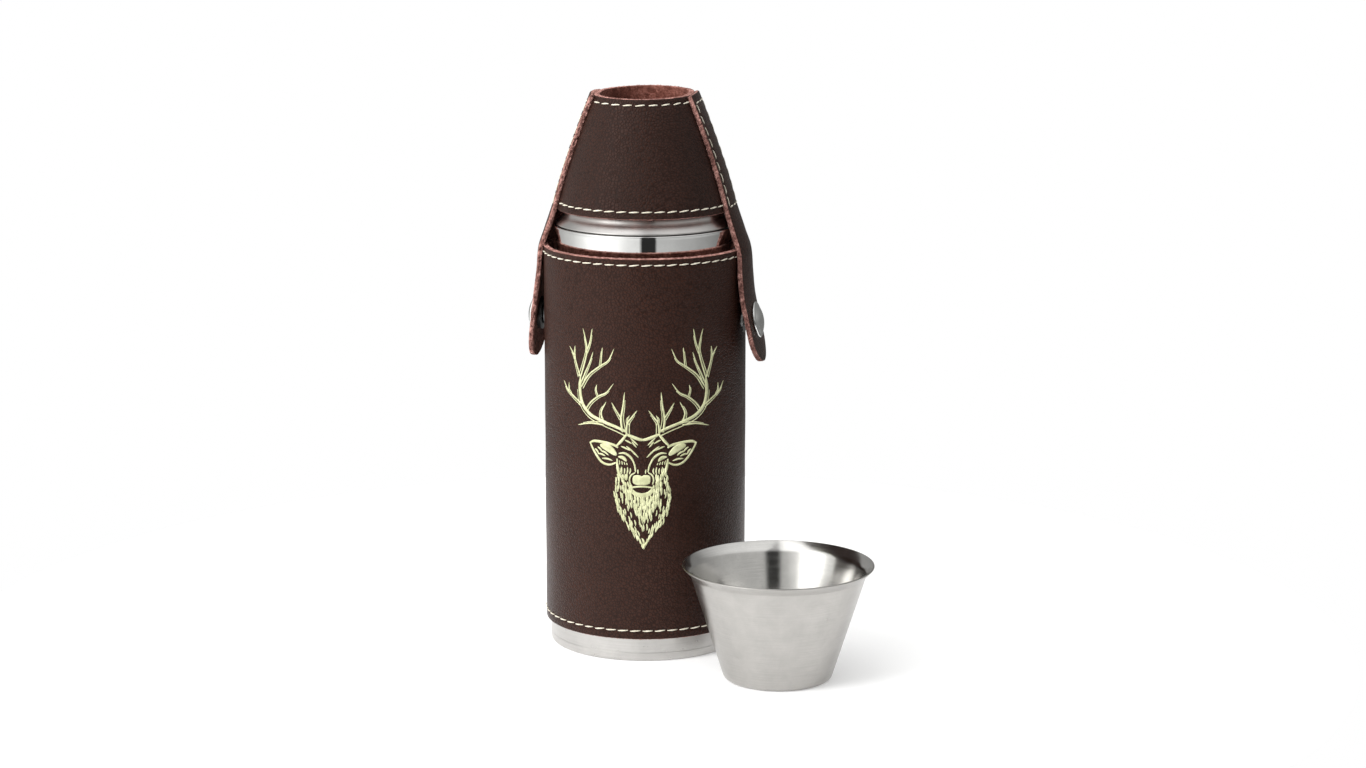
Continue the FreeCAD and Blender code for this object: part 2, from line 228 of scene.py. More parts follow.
def suede_material(name, light, grey=0.0, spread=1.0):
    """Flesh side: light scales its colour, grey fades it and spread widens its tones."""
    s = Shader(name)
    fibre = s.noise(s.place, 2600, 5.0, 0.7)
    clump = s.noise(s.place, 620, 4.0, 0.65, 0.6)
    both = s.math("MULTIPLY_ADD", clump, 0.6, s.math("MULTIPLY", fibre, 0.4))
    tones = ((0.34, (0.080, 0.024, 0.017)), (0.50, (0.200, 0.070, 0.052)), (0.64, (0.390, 0.165, 0.130)))
    middle = 0.49
    stops = []
    for at, tone in tones:
        faded = tuple(light * (c + (tone[0] - c) * grey) for c in tone)
        stops.append((middle + (at - middle) * spread, faded))
    colour = s.ramp(both, *stops)
    normal = s.bump(fibre, 0.16, 1.0, s.bump(clump, 0.42, 1.0))
    s.set(Base_Color=colour, Roughness=0.95, Normal=normal, Specular_IOR_Level=0.15, Sheen_Weight=0.12,
          Sheen_Roughness=0.5, Sheen_Tint=(0.9, 0.6, 0.5, 1.0))
    return s.material


def thread_material():
    s = Shader("cream_thread")
    tone = s.noise(s.place, 900, 3.0)
    colour = s.ramp(tone, (0.3, (0.60, 0.54, 0.42)), (0.7, (0.84, 0.79, 0.66)))
    twist = s.bump(s.noise(s.place, 5200, 3.0), 0.05, 0.8)
    s.set(Base_Color=colour, Roughness=0.62, Normal=twist, Sheen_Weight=0.25)
    return s.material


def foil_material():
    s = Shader("foil_print")
    tone = s.noise(s.place, 420, 4.0, 0.7)
    colour = s.ramp(tone, (0.32, (0.50, 0.51, 0.28)), (0.66, (0.80, 0.81, 0.50)))
    worn = s.bump(s.noise(s.place, 1900, 3.0), 0.03, 0.5)
    s.set(Base_Color=colour, Roughness=0.42, Normal=worn, Metallic=0.25, Specular_IOR_Level=0.6)
    return s.material


def brushed_steel_material(name, centre=(0.0, 0.0), tint=(0.54, 0.527, 0.509), rough=0.30, depth=0.010):
    """Satin steel with fine turning lines around an upright axis and faint handling marks."""
    s = Shader(name)
    turned = s.around(centre)
    lines = s.noise(s.scaled(turned, (1.4, 0.0, 9000.0)), 1.0, 3.0, 0.65)
    broad = s.noise(s.scaled(turned, (0.6, 0.0, 900.0)), 1.0, 2.0, 0.5)
    marks = s.noise(s.place, 160, 5.0, 0.65, 0.3)
    shade = s.math("MULTIPLY_ADD", lines, 0.5, s.math("MULTIPLY", marks, 0.5))
    low = tuple(c * 0.86 for c in tint)
    high = tuple(min(1.0, c * 1.10) for c in tint)
    colour = s.ramp(shade, (0.34, low), (0.66, high))
    roughness = s.math("MULTIPLY_ADD", broad, 0.16, s.math("MULTIPLY_ADD", marks, 0.12, rough - 0.14))
    tangent = s.node("ShaderNodeTangent", direction_type="RADIAL", axis="Z").outputs[0]
    s.set(Base_Color=colour, Roughness=roughness, Normal=s.bump(lines, depth, 0.6), Tangent=tangent,
          Metallic=1.0, Anisotropic=0.55, Anisotropic_Rotation=0.25)
    return s.material


def polished_steel_material(name, rough, uneven=0.07, light=1.0):
    s = Shader(name)
    smear = s.noise(s.place, 90, 4.0, 0.6)
    specks = s.noise(s.place, 1500, 2.0)
    low, high = (0.70, 0.70, 0.69), (0.82, 0.82, 0.81)
    colour = s.ramp(smear, (0.3, tuple(c * light for c in low)), (0.7, tuple(c * light for c in high)))
    roughness = s.math("MULTIPLY_ADD", smear, uneven, rough)
    s.set(Base_Color=colour, Roughness=roughness, Normal=s.bump(specks, 0.004, 0.35), Metallic=1.0)
    return s.material


def moulded_material(name, scale, low, high, rough, spread, relief):
    """Plastic or rubber with slight unevenness; spread is how far the roughness varies."""
    s = Shader(name)
    tone = s.noise(s.place, scale, 3.0)
    s.set(Base_Color=s.ramp(tone, (0.3, low), (0.7, high)),
          Roughness=s.math("MULTIPLY_ADD", tone, spread, rough), Normal=s.bump(tone, 0.02, relief))
    return s.material


LEATHER = leather_material("brown_leather")
# the cover is the same brown leather at 0.76 of its colour, which is painted shade; its slightly higher shine is
# its own
SHADED_COVER_LEATHER = leather_material("cover_leather", 0.76, 0.17)
SUEDE = suede_material("leather_flesh_side", 1.0)
CUT_EDGE = suede_material("leather_cut_edge", 1.35, 0.20, 0.62)
THREAD = thread_material()
FOIL = foil_material()
SATIN = brushed_steel_material("satin_steel")
POLISHED = polished_steel_material("polished_steel", 0.025, 0.03)
SNAP = polished_steel_material("snap_metal", 0.11)
# rougher copy of the snap metal at 0.22 of its colour: the roughness is real, the darkness is painted shade on the
# sockets and studs behind the straps
SNAP_PAINTED_SHADE = polished_steel_material("snap_painted_shade", 0.20, 0.10, 0.22)
PLASTIC = moulded_material("liner_plastic", 300, (0.016, 0.016, 0.017), (0.026, 0.026, 0.027), 0.35, 0.2, 0.3)
RUBBER = moulded_material("gasket_rubber", 500, (0.46, 0.45, 0.40), (0.56, 0.55, 0.50), 0.55, 0.15, 0.4)


# ---- mesh helpers ----
def add(name, data):
    """New object in the scene."""
    made = bpy.data.objects.new(name, data)
    bpy.context.scene.collection.objects.link(made)
    return made


def make_object(name, points, faces, materials, slots=None, smooth=True):
    """Object from points in millimetres; slots gives each face's material number."""
    mesh = bpy.data.meshes.new(name)
    mesh.from_pydata([Vector(p) * MM for p in points], [], faces)
    for material in materials:
        mesh.materials.append(material)
    if slots:
        mesh.polygons.foreach_set("material_index", slots)
    mesh.polygons.foreach_set("use_smooth", [smooth] * len(faces))
    mesh.update()
    return add(name, mesh)


def skin_faces(count, size, first=0, wrap=False):
    """Faces of a closed skin through count rings of equal size, whose points start at number first.

    It is capped at both ends, or joined end to start (wrap).
    """
    faces = []
    for i in range(count if wrap else count - 1):
        here, there = first + i * size, first + (i + 1) % count * size
        for j in range(size):
            k = (j + 1) % size
            faces.append((here + j, here + k, there + k, there + j))
    if not wrap:
        faces.append(tuple(reversed(range(first, first + size))))
        faces.append(tuple(range(first + (count - 1) * size, first + count * size)))
    return faces


def closed_tube(name, rings, materials, slot_of, wrap=False):
    """Closed skin through rings; slot_of(i, j) is the material number after ring i and point j."""
    size = len(rings[0])
    count = len(rings)
    slots = [slot_of(i, j) for i in range(count if wrap else count - 1) for j in range(size)]
    if not wrap:
        slots += [slot_of(0, -1)] * 2
    points = [p for ring in rings for p in ring]
    return make_object(name, points, skin_faces(count, size, wrap=wrap), materials, slots)


def attach(piece, body, slot, *nodes):
    """Which CAD nodes a piece stands for and the body that it moves with; what it is made of (slot) is not used.
    """
    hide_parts(*nodes)
    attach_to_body(piece, body)


def lathe(name, profile, materials, centre=(0.0, 0.0), steps=256, slot_of=lambda i, j: 0):
    """Skin turned about an upright axis from a closed profile of (radius, height)."""
    rings = []
    for i in range(steps):
        a = TAU * i / steps
        rings.append([(centre[0] + r * cos(a), centre[1] + r * sin(a), z) for r, z in profile])
    return closed_tube(name, rings, materials, slot_of, wrap=True)


def arc(centre, radius, start, end, steps):
    """Points on an arc in the profile plane; angles in degrees."""
    out = []
    for i in range(steps + 1):
        a = radians(start + (end - start) * i / steps)
        out.append((centre[0] + radius * cos(a), centre[1] + radius * sin(a)))
    return out


def along(points, steps):
    """Catmull-Rom curve through points of any dimension."""
    pts = [Vector(p) for p in points]
    pts = [2 * pts[0] - pts[1]] + pts + [2 * pts[-1] - pts[-2]]
    out = []
    for i in range(1, len(pts) - 2):
        p0, p1, p2, p3 = pts[i - 1:i + 3]
        last = i == len(pts) - 3
        for k in range(steps + (1 if last else 0)):
            t = k / steps
            out.append(0.5 * (2 * p1 + (p2 - p0) * t + (2 * p0 - 5 * p1 + 4 * p2 - p3) * t * t
                              + (3 * p1 - p0 - 3 * p2 + p3) * t ** 3))
    return out


def read(line, x):
    """Value at x of a line given as (x, value) pairs in rising order, straight between them."""
    if x <= line[0][0]:
        return line[0][1]
    for (x0, v0), (x1, v1) in zip(line, line[1:]):
        if x <= x1:
            return v0 + (v1 - v0) * (x - x0) / (x1 - x0)
    return line[-1][1]


def polar(r, a, z=0.0):
    return (r * cos(a), r * sin(a), z)


def sideways(line):
    """Unit vector to the right of a flat line at each of its points."""
    last = len(line) - 1
    out = []
    for i in range(last + 1):
        (u0, z0), (u1, z1) = line[max(0, i - 1)], line[min(last, i + 1)]
        run = hypot(u1 - u0, z1 - z0) or 1.0
        out.append(((z1 - z0) / run, -(u1 - u0) / run))
    return out


def mix(p, q, t):
    return (p[0] + (q[0] - p[0]) * t, p[1] + (q[1] - p[1]) * t)


# ---- leather surfaces ----
def wobble(x, y, z, size, depth):
    """Smooth unevenness, up to about depth, with lumps of a given size."""
    return depth * noise.noise(Vector((x, y, z)) / size)


def stitch_dip(u, pitch, distance, deep=0.16, reach=1.1):
    """How far the leather sinks next to a stitch row: most at the holes between stitches."""
    if abs(distance) > reach:
        return 0.0
    fall = (1 - (distance / reach) ** 2) ** 2
    phase = cos(TAU * u / pitch)
    return deep * fall * (0.62 + 0.38 * phase)


SLEEVE_COUNT = round(TAU * SLEEVE_R / STITCH_PITCH)         # stitches in one row round the sleeve
SEAM_OFFSET = 2.2           # groove of the back seam, beside its stitches


def sleeve_radius(angle, z):
    """Outside of the sleeve, with the dips of its stitch rows and slight unevenness."""
    pitch = TAU * SLEEVE_R / SLEEVE_COUNT
    u = angle * SLEEVE_R
    dip = stitch_dip(u, pitch, z - ROW_TOP) + stitch_dip(u, pitch, z - ROW_LOW)
    dip += 0.40 * exp(-((u - pi / 2 * SLEEVE_R + SEAM_OFFSET) / 0.28) ** 2)
    ease = min(1.0, (SLEEVE_HIGH.z - z) / 9.0, (z - SLEEVE_LOW.z) / 9.0)
    return SLEEVE_R - dip + wobble(*polar(SLEEVE_R, angle, z), 16.0, 0.10) * max(0.15, ease)


def leather_tube(name, inner, outer, z_low, z_high, rows, steps, edges, bevel=0.0, lift=None, skin=LEATHER):
    """Leather tube between two radius functions; grain outside, flesh side inside and on its cut edges.

    edges: how far the grain stops short of the low and high end; bevel: how far the high end is pared back.
    """
    grain_low, grain_high = z_low + edges[0], z_high - max(edges[1], bevel)
    heights = [grain_low + (grain_high - grain_low) * i / rows for i in range(rows + 1)]
    rings = []
    for i in range(steps):
        a = TAU * i / steps
        ring = []

        def put(radius, z):
            shift = lift(a, z) if lift else 0.0
            ring.append(polar(radius, a, z + shift))

        spot = polar(30, a)[:2]
        for z in heights:
            put(outer(a, z), z)
        edge, core = outer(a, grain_high), inner(a, z_high)
        for k in range(1, CUT_STEPS):
            t = k / CUT_STEPS
            ragged = wobble(*spot, z_high + 2 * t, 0.75, 0.30 + 0.20 * bevel) * sin(pi * t)
            fall = (z_high - grain_high) * (1 - t) ** (1.0 if bevel else 3.0)
            put(edge + (core - edge) * t + 0.3 * ragged, z_high - fall + ragged)
        for z in reversed(heights):
            put(inner(a, z), z + (z_high - grain_high) * max(0.0, (z - z_high + 4) / 4) * 0.7)
        edge, core = outer(a, grain_low), inner(a, z_low)
        for k in range(CUT_STEPS - 1, 0, -1):
            t = k / CUT_STEPS
            ragged = wobble(*spot, z_low - 2 * t, 0.75, 0.34) * sin(pi * t)
            put(edge + (core - edge) * t, z_low + edges[0] * (1 - t) ** 3 - 0.6 * abs(ragged))
        rings.append(ring)
    outside = len(heights) - 1
    inside = range(outside + CUT_STEPS, outside + CUT_STEPS + len(heights) - 1)

    def slot_of(i, j):
        return 0 if j < outside else 1 if j in inside else 2

    return closed_tube(name, rings, [skin, SUEDE, CUT_EDGE], slot_of, wrap=True)


def stitch_row(name, spots, body, replaced):
    """Separate stitches along a seam; a spot is a stitch's centre, the seam's direction and the normal."""
    points, faces = [], []
    sides, spans = 8, 9
    rng = random.Random(name)
    for centre, direction, normal in spots:
        direction, normal = direction.normalized(), normal.normalized()
        across = normal.cross(direction).normalized()
        slant = STITCH_SLANT + rng.uniform(-0.05, 0.05)
        run = (direction * cos(slant) + across * sin(slant)).normalized()
        side = normal.cross(run).normalized()
        half = STITCH_LEN / 2 * rng.uniform(0.95, 1.03)
        first = len(points)
        for k in range(spans):
            t = -1 + 2 * k / (spans - 1)
            body_r = STITCH_R * max(0.30, (1 - abs(t) ** 3.2)) ** 0.5
            rise = 0.10 * (1 - t * t) - 0.20 * t ** 8 - 0.04
            core = centre + run * (half * t) + normal * rise
            for m in range(sides):
                a = TAU * m / sides + 1.3 * t
                bulge = 1 + 0.10 * cos(2 * a - 5.0 * t)
                out = side * cos(a) * 1.10 + normal * sin(a) * 0.8
                points.append(core + out * body_r * bulge)
        faces += skin_faces(spans, sides, first)
    row = make_object(name, points, faces, [THREAD])
    attach(row, body, "cream_thread", replaced)


# ---- sleeve ----
def sleeve_spot(angle, z):
    """Where a stitch lies on the sleeve, the level direction there and the normal."""
    out = Vector((cos(angle), sin(angle), 0))
    here = out * (sleeve_radius(angle, z) + STITCH_LIFT) + Vector((0, 0, z))
    return here, Vector((-out.y, out.x, 0)), out


def build_sleeve():
    tube = leather_tube("sleeve", lambda a, z: VESSEL_R + 0.02, sleeve_radius,
                        SLEEVE_LOW.z, SLEEVE_HIGH.z, 300, 900, edges=(0.25, 0.3), bevel=0.15)
    attach(tube, "flask", "brown_leather", "leather_sleeve")
    angles = [TAU * (i + 0.5) / SLEEVE_COUNT for i in range(SLEEVE_COUNT)]
    for end, z in (("top", ROW_TOP), ("bottom", ROW_LOW)):
        spots = [sleeve_spot(a, z) for a in angles]
        stitch_row("sleeve_%s_stitches" % end, spots, "flask", "sleeve_%s_thread" % end)
    count = int((ROW_TOP - ROW_LOW - 4) / STITCH_PITCH)
    heights = [ROW_LOW + 3.5 + i * STITCH_PITCH for i in range(count)]
    up, back = Vector((0, 0, 1)), Vector((0, 1, 0))
    spots = [(Vector((0.0, sleeve_radius(pi / 2, z), z)), up, back) for z in heights]
    stitch_row("sleeve_back_stitches", spots, "flask", "sleeve_back_thread")


build_sleeve()

# ---- the printed stag's head ----
FOIL_PROUD = 0.045          # face of the print above the leather
FOIL_ROOT = -0.03           # and its root, below it
PRINT_SHIFT = 0.30          # the print's middle, left of the sleeve's front
MUZZLE_LEAN = 0.40          # how much further left the muzzle is


def on_sleeve(u, z, proud):
    """Point on the front of the sleeve, u millimetres round from the print's middle."""
    shift = PRINT_SHIFT + MUZZLE_LEAN * exp(-((z - 51) / 6) ** 2)
    angle = -pi / 2 + (u - shift) / SLEEVE_R
    return polar(sleeve_radius(angle, z) + proud, angle, z)


class Print:
    """Foil print as thin closed ribbons laid on the leather; everything is drawn on both sides."""

    def __init__(self):
        self.points, self.faces, self.count = [], [], 0

    def ribbon(self, line, width, across=1):
        """One ribbon along (u, z) points; width(t) is its width from start, 0, to end, 1."""
        self.count += 1
        top = FOIL_PROUD + 0.002 * (self.count % 7)
        last = len(line) - 1
        size = 2 * (across + 1)
        first = len(self.points)
        for i, ((u, z), side) in enumerate(zip(line, sideways(line))):
            half = max(0.03, width(i / last) / 2)
            row = [(u + side[0] * half * k, z + side[1] * half * k)
                   for k in (1 - 2 * m / across for m in range(across + 1))]
            self.points += [on_sleeve(a, b, top) for a, b in row]
            self.points += [on_sleeve(a, b, FOIL_ROOT) for a, b in reversed(row)]
        self.faces += skin_faces(last + 1, size, first)

    def both(self, line, width, across=1):
        self.ribbon(line, width, across)
        self.ribbon([(-u, z) for u, z in line], width, across)

    def curve(self, corners, steps=7):
        return [(p.x, p.y) for p in along([Vector((u, z, 0)) for u, z in corners], steps)]

    def horn(self, corners, start, end, shade=1):
        """A tapering branch of the antlers: a broad stroke and, past an engraved gap, a fine one."""
        line = self.curve(corners)
        last = len(line) - 1

        def beside(share):
            widths = [(start + (end - start) * i / last) * share * shade for i in range(last + 1)]
            return [(u + side[0] * w, z + side[1] * w)
                    for (u, z), side, w in zip(line, sideways(line), widths)]

        def broad(t):
            return (start + (end - start) * t) * (0.38 + 0.46 * t) * min(1.0, 8 * (1 - t) + 0.25)

        def fine(t):
            return 0.15 + 0.09 * (1 - t) * start

        self.both(beside(-0.24), broad)
        self.both(beside(0.42)[:max(4, int(0.86 * last))], fine)

    def hair(self, u, z, lean, length, width):
        """One short tapering stroke; lean is its direction in degrees, 0 straight down, + outwards."""
        a = radians(lean)
        bend = 0.08 * length
        line = []
        for i in range(7):
            t = i / 6
            side = bend * sin(pi * t)
            line.append((u + sin(a) * length * t + cos(a) * side,
                         z - cos(a) * length * t + sin(a) * side))
        self.ribbon(line, lambda t: width * sin(pi * (0.12 + 0.84 * t)) ** 0.8)


ANTLER = (                  # corners of each branch, its width at the start and at the end, shaded side
    (((4.6, 64.6), (7.5, 65.8), (11.0, 67.0), (15.2, 68.7), (18.0, 71.6), (18.9, 75.5), (18.6, 79.5)),
     1.8, 1.2, 1),
    (((18.6, 79.1), (17.2, 82.9), (16.2, 86.6), (16.6, 89.6), (17.4, 92.6)), 1.15, 0.30, 1),
    (((16.2, 86.0), (15.0, 88.8), (14.2, 92.8)), 0.85, 0.30, -1),
    (((18.7, 79.1), (19.8, 82.2), (20.7, 84.7), (22.4, 87.1)), 1.05, 0.30, 1),
    (((20.3, 83.5), (20.4, 85.6), (20.1, 87.5)), 0.70, 0.28, -1),
    (((18.2, 76.8), (16.6, 80.2), (15.0, 83.5), (14.0, 86.4)), 1.05, 0.30, -1),
    (((17.9, 76.2), (15.4, 79.8), (12.0, 82.5), (9.4, 84.4), (7.8, 87.7)), 1.05, 0.30, -1),
    (((11.9, 82.5), (11.6, 85.3), (11.3, 87.9)), 0.75, 0.28, 1),
    (((17.8, 71.3), (21.2, 73.3), (23.4, 74.8), (25.0, 77.2)), 1.10, 0.30, 1),
    (((21.9, 73.9), (22.7, 75.2), (22.6, 77.0)), 0.70, 0.28, -1),
    (((16.6, 69.9), (14.8, 72.3), (12.4, 74.2), (10.0, 75.5), (8.0, 78.1)), 1.10, 0.30, -1),
    (((12.7, 74.1), (13.3, 75.9), (13.1, 77.5)), 0.70, 0.28, 1),
    (((11.2, 67.2), (11.9, 69.9), (10.3, 73.0)), 1.20, 0.30, 1),
    (((11.0, 66.8), (15.0, 66.8), (19.4, 65.7)), 1.10, 0.25, -1),
    (((5.2, 64.9), (5.7, 68.4), (5.2, 72.1), (4.9, 75.9)), 1.45, 0.30, -1),
    (((6.0, 68.4), (7.4, 70.6), (8.7, 72.8)), 0.90, 0.30, 1),
    (((4.2, 64.4), (4.0, 67.2), (2.9, 68.9), (1.5, 70.9)), 1.25, 0.30, -1),
    (((3.9, 66.8), (4.3, 68.2), (3.7, 69.6)), 0.75, 0.25, 1),
)
# half widths of the head and neck, and of the bright chin, by height
NECK = ((32.3, 0.1), (35.9, 1.9), (38.4, 3.8), (41.5, 6.0), (44.6, 7.4), (47.3, 7.95), (49.8, 7.6),
        (52.8, 7.0), (56.5, 6.8))
CHIN = ((41.0, 0.0), (41.8, 1.2), (43.6, 2.5), (45.8, 4.0), (49.0, 5.2), (54.0, 5.8))
FOREHEAD = (((4.9, 62.7), (3.0, 61.7)), ((3.4, 63.3), (1.3, 61.3)), ((3.0, 62.3), (1.7, 60.7)),
            ((4.5, 61.0), (1.7, 58.7)), ((3.2, 60.0), (1.1, 57.9)), ((6.0, 60.9), (3.4, 59.8)))
EAR_HAIRS = (((12.8, 60.3), (11.2, 58.9)), ((11.6, 59.3), (9.5, 58.2)), ((12.7, 58.4), (10.4, 57.9)),
             ((11.4, 57.2), (8.3, 56.8)), ((13.6, 59.7), (12.4, 58.4)))


def build_emblem():
    """A stag's head from the front, in the manner of an old wood engraving."""
    art = Print()
    rng = random.Random("stag")
    for corners, start, end, shade in ANTLER:
        art.horn(corners, start, end, shade)

    def swell(low, high, power=0.7):
        return lambda t: low + (high - low) * sin(pi * t) ** power

    def stroke(*corners, low=0.12, high=0.45, power=0.7, across=2):
        art.both(art.curve(corners), swell(low, high, power), across)

    # crown of the head, strokes of the forehead
    stroke((0.0, 62.8), (1.1, 63.0), (3.0, 63.7), (4.5, 64.3), low=0.55, high=0.85)
    stroke((4.3, 64.4), (5.8, 62.5), (7.2, 61.0), low=0.45, high=0.75)
    for (u0, z0), (u1, z1) in FOREHEAD:
        stroke((u0, z0), ((u0 + u1) / 2 + 0.15, (z0 + z1) / 2 + 0.15), (u1, z1), low=0.10)
    # eyes: a heavy lid running down to the muzzle, the bright eye, short fur under the dark hollow
    stroke((6.6, 58.9), (4.9, 59.0), (3.2, 57.9), (2.1, 56.2), low=0.20, high=0.62)
    stroke((6.7, 58.0), (5.3, 57.7), (4.3, 56.8), low=0.20, high=0.95, across=3)
    for i in range(4):
        out, back, down = 0.8 * i, 0.7 * i, 0.2 * i
        stroke((3.2 + out, 54.9 + 0.3 * (i % 2)), (3.1 + out, 54.1), (3.4 + back, 53.2), high=0.42)
        stroke((6.4 - back, 57.0 - down), (6.2 - back, 56.4 - down), (6.2 - back, 55.8), high=0.30)
    stroke((7.0, 57.4), (6.7, 54.8), (6.0, 53.0), (5.0, 51.6), low=0.35, high=0.80)
    # muzzle, nose and lips with the small dark mouth between them
    stroke((3.0, 57.9), (2.0, 55.6), (1.7, 53.8), low=0.25, high=0.50)
    stroke((1.1, 54.6), (1.05, 54.0), (1.0, 53.4), low=0.15, high=0.35)
    stroke((1.8, 53.7), (2.9, 52.9), (3.3, 51.6), (3.0, 50.4), low=0.25, high=0.45)

    def nose(t):
        return swell(0.8, 2.9, 0.30)(t) - 0.5 * exp(-((t - 0.5) / 0.1) ** 2)

    art.ribbon(art.curve([(-2.45, 51.7), (-1.4, 51.7), (0.0, 51.5), (1.4, 51.7), (2.45, 51.7)], 5), nose, 6)
    art.ribbon(art.curve([(-3.6, 49.3), (-1.8, 49.7), (0.0, 49.85), (1.8, 49.7), (3.6, 49.3)], 5),
               swell(0.35, 0.5), 2)
    art.ribbon(art.curve([(-3.1, 49.0), (-1.8, 47.8), (0.0, 47.35), (1.8, 47.8), (3.1, 49.0)], 6),
               swell(0.9, 1.25, 0.5), 6)
    # ears: pointed outline, a broad fold and fringes over the dark hollow
    stroke((6.8, 60.5), (8.2, 61.2), (11.0, 61.7), (13.8, 61.8), (15.2, 61.2), low=0.45, high=0.75)
    stroke((15.2, 61.4), (14.1, 59.4), (12.4, 57.1), (10.9, 55.9), (9.0, 55.6), (7.2, 56.3),
           low=0.40, high=0.62)
    stroke((12.0, 60.9), (9.6, 60.2), (7.2, 58.4), low=0.50, high=2.0, across=5)
    for (u0, z0), (u1, z1) in EAR_HAIRS:
        stroke((u0, z0), ((u0 + u1) / 2, (z0 + z1) / 2 + 0.2), (u1, z1), high=0.50)
    # fur: dense on cheeks, chin and along the outline, open between
    z = 55.0
    while z > 33.4:
        half = read(NECK, z)
        chin = read(CHIN, z)
        count = max(1, round(half / 0.58))
        for i in range(-count, count + 1):
            u = half * i / (count + 0.35) + rng.uniform(-0.16, 0.16)
            away = abs(u)
            inside = 5.6 if z > 53.6 else 3.7 if z > 50.3 else 2.9 if z > 47.4 else 0.0
            if away < inside:
                continue
            dense = away < chin or away > half - 1.0
            if rng.random() > (0.94 if dense else 0.36):
                continue
            share = away / half
            lean = -(4 + 22 * share * max(0.0, (50 - z) / 16)) * (1 if u > 0 else -1) + rng.uniform(-8, 8)
            length = min(rng.uniform(1.4, 2.1), z - 32.2)
            wide = rng.uniform(0.55, 0.75) if away < chin else rng.uniform(0.40, 0.56) if dense else 0.40
            art.hair(u, z + rng.uniform(-0.3, 0.3), lean, length, wide)
        z -= 0.98
    stag = make_object("stag_print", art.points, art.faces, [FOIL])
    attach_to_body(stag, "flask")


build_emblem()

# ---- steel pieces ----
CUP_SHEET = 0.5
CUP_TAPER = 17.7            # degrees from upright
CUP_FLARE = 45.0
CUP_LIP = 2.3               # straight length of the flared lip
CUP_BEND_R = 2.5            # between wall and lip
CUP_BASE_R = 1.6            # at the foot of the wall
COLLAR_SHEET = 0.8
COLLAR_FOOT_R = 24.3
COLLAR_ROLL = 0.5           # how far the rolled rim stands out past the plain ring
COLLAR_LEAN = 0.78          # how far its wall leans in from the rim to the knee
COLLAR_KNEE = 111.6         # height where the wall begins, just inside the sleeve
COLLAR_EDGE_R = 0.35
VESSEL_SHEET = 0.6
VESSEL_EDGE_R = 0.7
PIN = 0.005                 # radius of the tiny hole at the middle of a turned skin
PIN_RING = 0.15


def cup_profile(rim_r, height):
    """Closed profile of an upright cup on z = 0, as pressed: base, tapered wall, flared lip."""
    t, a, b = CUP_SHEET, radians(CUP_TAPER), radians(CUP_FLARE)
    lip = (rim_r - t / 2, height - t / 2)
    low = (lip[0] - CUP_LIP * sin(b), lip[1] - CUP_LIP * cos(b))
    reach = t / 2 + CUP_BEND_R
    hub = (low[0] + reach * cos(b), low[1] - reach * sin(b))
    bend_out = arc(hub, CUP_BEND_R, 180 - CUP_TAPER, 180 - CUP_FLARE, 8)
    bend_in = arc(hub, CUP_BEND_R + t, 180 - CUP_FLARE, 180 - CUP_TAPER, 8)
    foot_z = CUP_BASE_R * (1 - sin(a))
    foot_r = bend_out[0][0] - (bend_out[0][1] - foot_z) * tan(a)
    base = (foot_r - CUP_BASE_R * cos(a), CUP_BASE_R)
    corner_out = arc(base, CUP_BASE_R, -90, -CUP_TAPER, 8)
    corner_in = arc(base, CUP_BASE_R - t, -CUP_TAPER, -90, 8)
    wall_out = [mix(corner_out[-1], bend_out[0], k / 10) for k in range(1, 10)]
    wall_in = [mix(bend_in[-1], corner_in[0], k / 10) for k in range(1, 10)]
    edge = arc(lip, t / 2, -CUP_FLARE, 180 - CUP_FLARE, 8)
    floor_out = [(PIN, 0.0), (PIN_RING, 0.0)] + [(base[0] * k / 6, 0.0) for k in range(1, 6)]
    floor_in = [(base[0] * k / 6, t) for k in range(5, 0, -1)] + [(PIN_RING, t), (PIN, t)]
    return (floor_out + corner_out + wall_out + bend_out + edge + bend_in + wall_in
            + corner_in + floor_in)


def build_cup(node, outside, inside):
    """One cup over its CAD node; a nested cup stands upside down."""
    low, high = box_mm(node)
    centre = ((low.x + high.x) / 2, (low.y + high.y) / 2)
    height = high.z - low.z
    profile = cup_profile((high.x - low.x) / 2, height)
    count = len(profile)
    upright = node == "loose_cup"
    if upright:
        profile = [(r, z + low.z) for r, z in profile]
    else:
        profile = [(r, high.z - z) for r, z in reversed(profile)]

    def slot_of(i, j):
        return 1 if (j if upright else count - 1 - j) > count * 0.53 else 0

    made = lathe(node + "_steel", profile, [outside, inside], centre, slot_of=slot_of)
    attach(made, node, "satin_steel", node)


def build_cups():
    low, high = box_mm("loose_cup")
    centre = ((low + high) / 2)[:2]
    # both sides of the loose cup are one steel: the outside's darker tint is painted shade and the inside's
    # lighter tint is painted light; their different roughness is real
    loose_outside = brushed_steel_material("loose_cup_outside", centre, (0.455, 0.441, 0.422), 0.32)
    loose_inside = brushed_steel_material("loose_cup_inside", centre, (0.68, 0.67, 0.65), 0.17, 0.006)
    bright = brushed_steel_material("nested_cup_steel", tint=(0.60, 0.585, 0.57), rough=0.30, depth=0.004)
    for node in ("outer_cup", "middle_cup", "inner_cup"):
        build_cup(node, bright, bright)
    build_cup("loose_cup", loose_outside, loose_inside)


def build_collar():
    low, high = box_mm("cup_seat_collar")
    top_r, t, e = high.x + COLLAR_ROLL, COLLAR_SHEET, COLLAR_EDGE_R
    foot, knee = (COLLAR_FOOT_R, low.z), (top_r - COLLAR_LEAN, COLLAR_KNEE)
    lip = (top_r - 0.03, high.z - e - 0.1)
    wall = [mix(foot, knee, k / 4) for k in range(4)] + [mix(knee, lip, k / 10) for k in range(11)]
    deck = [(20.0, high.z), (16.2, high.z), (16.0, high.z - 0.2), (16.0, high.z - t)]
    rim = arc((top_r - e, high.z - e), e, 0, 90, 8)
    profile = [(foot[0] - t, low.z)] + wall + rim + deck + [(top_r - 2 * t, high.z - t)]
    attach(lathe("collar", profile, [POLISHED]), "flask", "polished_steel", "cup_seat_collar")


